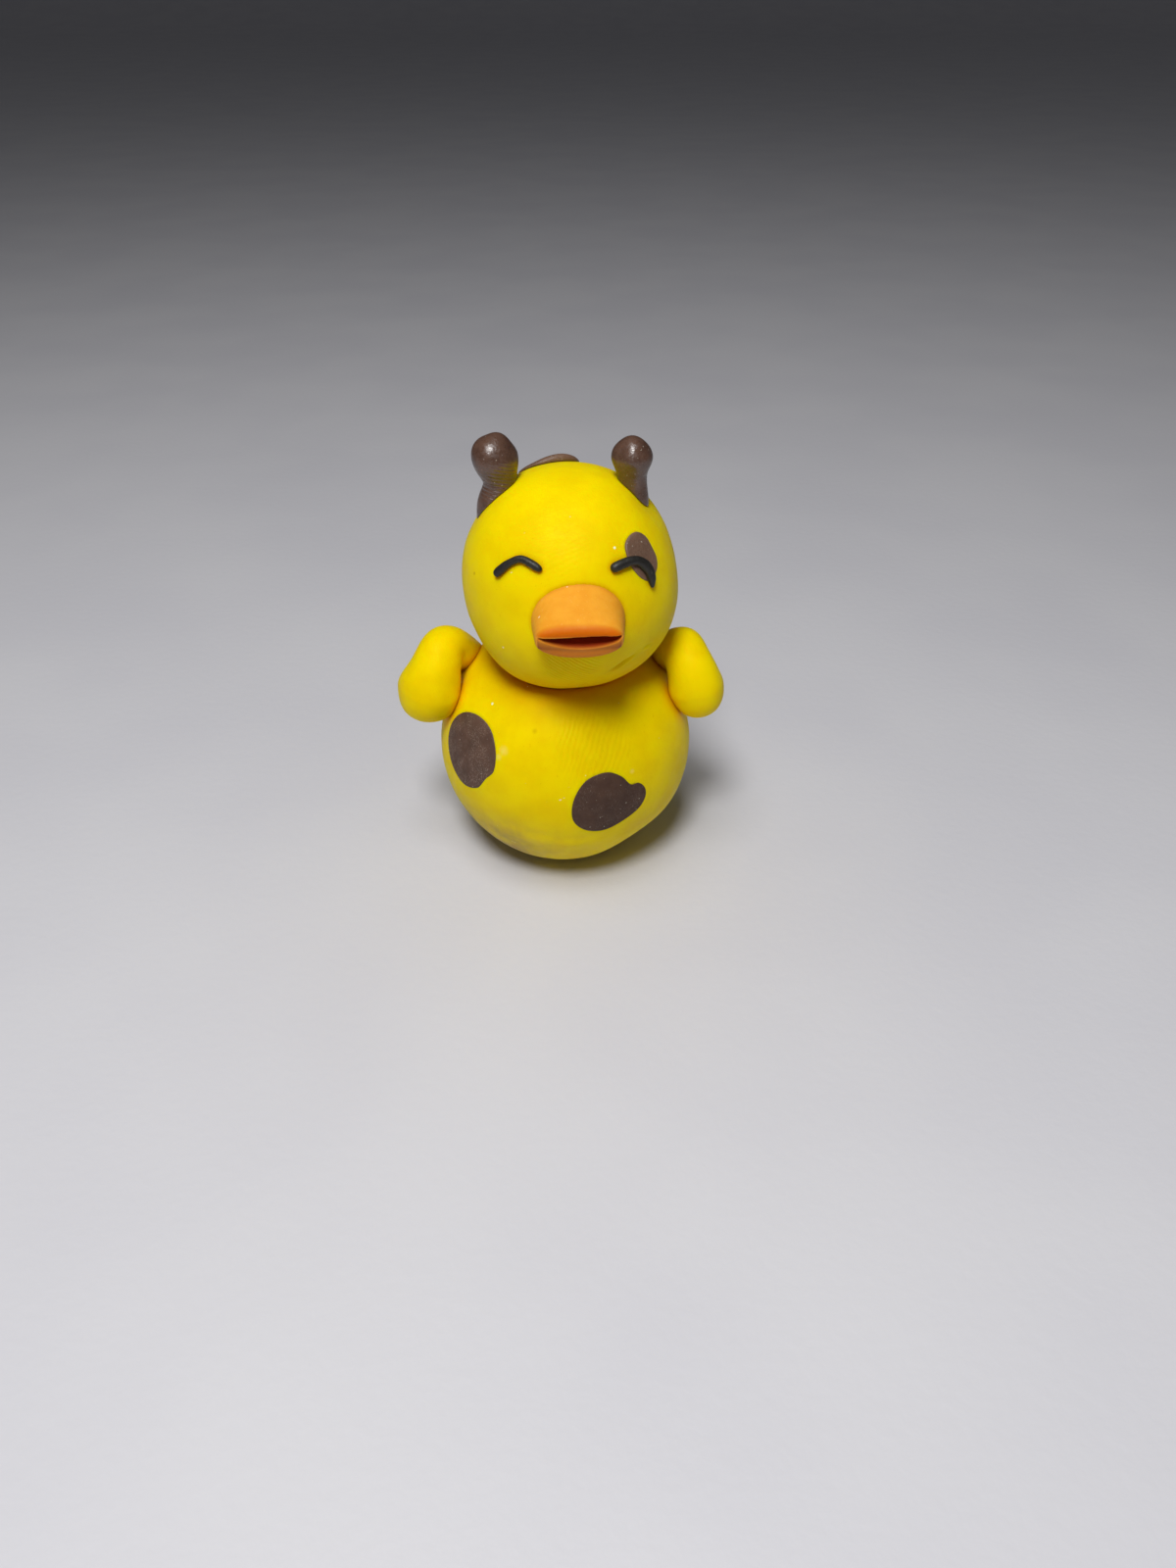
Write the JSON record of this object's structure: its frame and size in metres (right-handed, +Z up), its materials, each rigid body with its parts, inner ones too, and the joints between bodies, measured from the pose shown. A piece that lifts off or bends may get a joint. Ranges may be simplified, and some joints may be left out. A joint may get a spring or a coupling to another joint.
{
  "type": "clay duck figurine",
  "caption": "Small hand-modelled clay duck figure with a ball body and head, bent wings, beak, bulb-topped horns, coil eyes and dark patches.",
  "frame": {"origin": "middle of the flat base, on the surface that the figure stands on", "axes": "+Z up; the duck looks along -Y, so its own left side is +X"},
  "size_m": [0.0315, 0.0284, 0.0435],
  "materials": {
    "yellow_clay": "baked clay, matt with a soft sheen and faint finger marks",
    "orange_clay": "baked clay, matt with a soft sheen",
    "brown_clay": "baked clay, satin, with pale dust",
    "black_clay": "baked clay, satin"
  },
  "bodies": {
    "root": {"body": "yellow_clay", "head": "yellow_clay", "right_wing": "yellow_clay", "left_wing": "yellow_clay", "beak": "orange_clay", "right_horn": "brown_clay", "left_horn": "brown_clay", "eye_patch": "brown_clay", "crown_patch": "brown_clay", "chest_patch": "brown_clay", "belly_patch": "brown_clay", "right_eye": "black_clay", "left_eye": "black_clay"}
  },
  "joints": []
}
